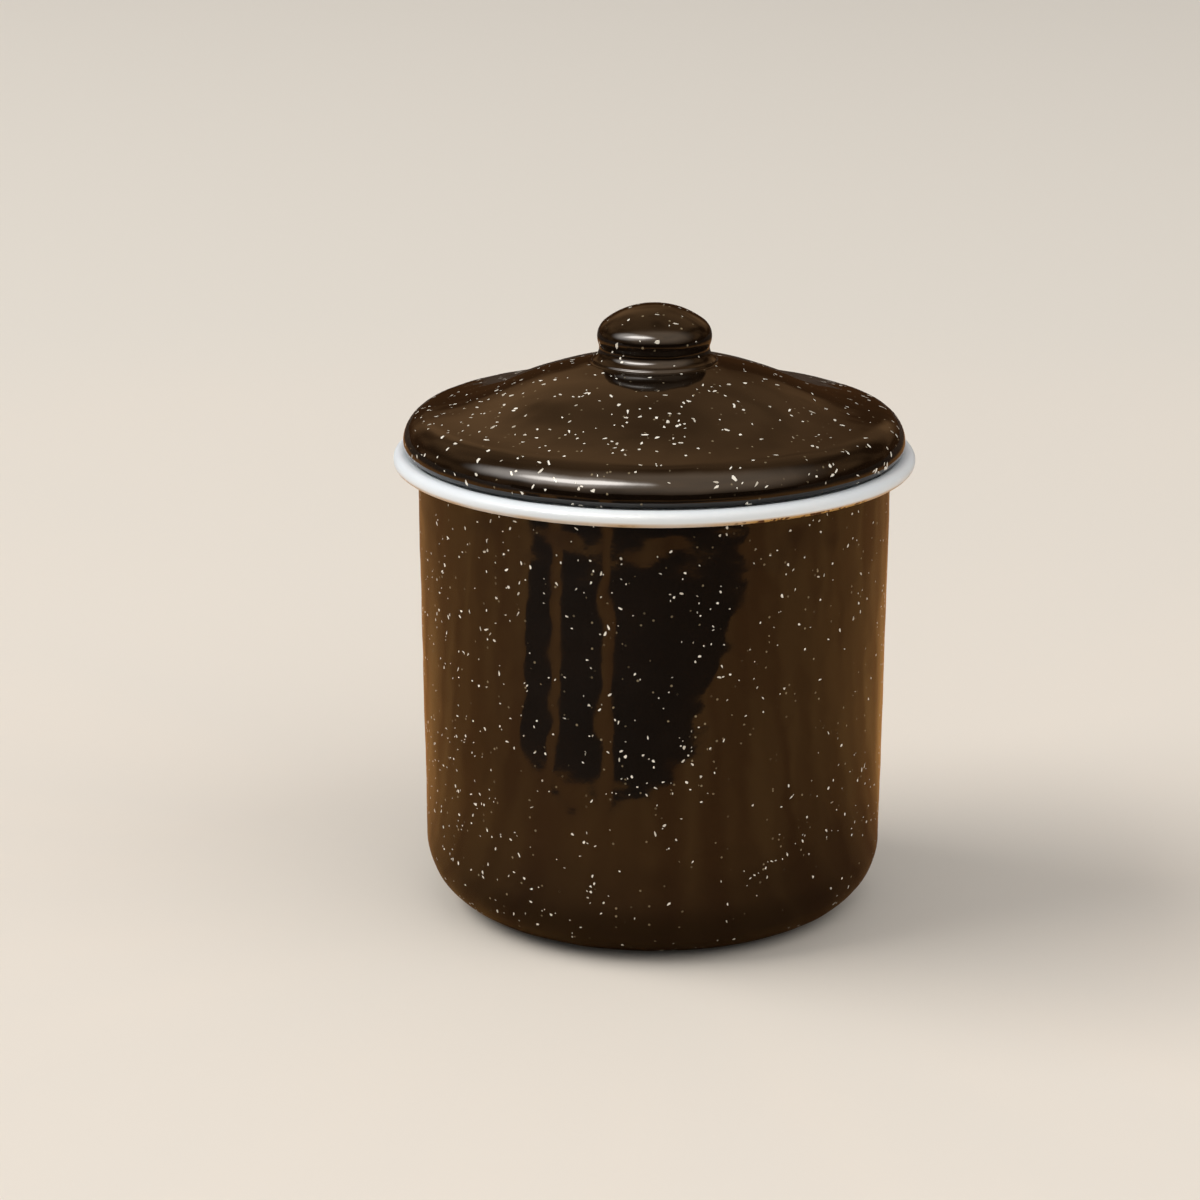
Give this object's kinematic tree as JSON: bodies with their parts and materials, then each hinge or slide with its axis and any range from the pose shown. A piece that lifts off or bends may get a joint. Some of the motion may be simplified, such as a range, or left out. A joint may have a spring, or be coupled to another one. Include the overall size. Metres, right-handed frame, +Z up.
{
  "type": "canister",
  "caption": "Round enamelled steel kitchen canister with a bell-shaped lift-off lid, a hollow knob, a rolled white rim and a flecked black outside.",
  "frame": {"origin": "middle of the base, on the surface that the canister stands on", "axes": "+Z up along the axis of the body, lid and knob; the object is round, so X and Y are free"},
  "size_m": [0.143, 0.143, 0.1687],
  "materials": {
    "sheet_steel": "bare enamelling steel, hidden under the coats",
    "black_flecked_enamel": "glossy black vitreous enamel with fine cream-white flecks",
    "white_enamel": "glossy cool-white vitreous enamel"
  },
  "bodies": {
    "canister": {"body_shell": "sheet_steel", "body_outer_enamel": "black_flecked_enamel", "body_lining": "white_enamel"},
    "lid": {"lid_shell": "sheet_steel", "lid_outer_enamel": "black_flecked_enamel", "locating_ring": "sheet_steel", "lid_lining": "white_enamel", "knob_shell": "sheet_steel", "knob_enamel": "black_flecked_enamel"}
  },
  "joints": [
    {"name": "lid_lift", "type": "slide", "parent": "canister", "child": "lid", "axis": [0, 0, 1], "range_m": [0, 0.12]}
  ]
}
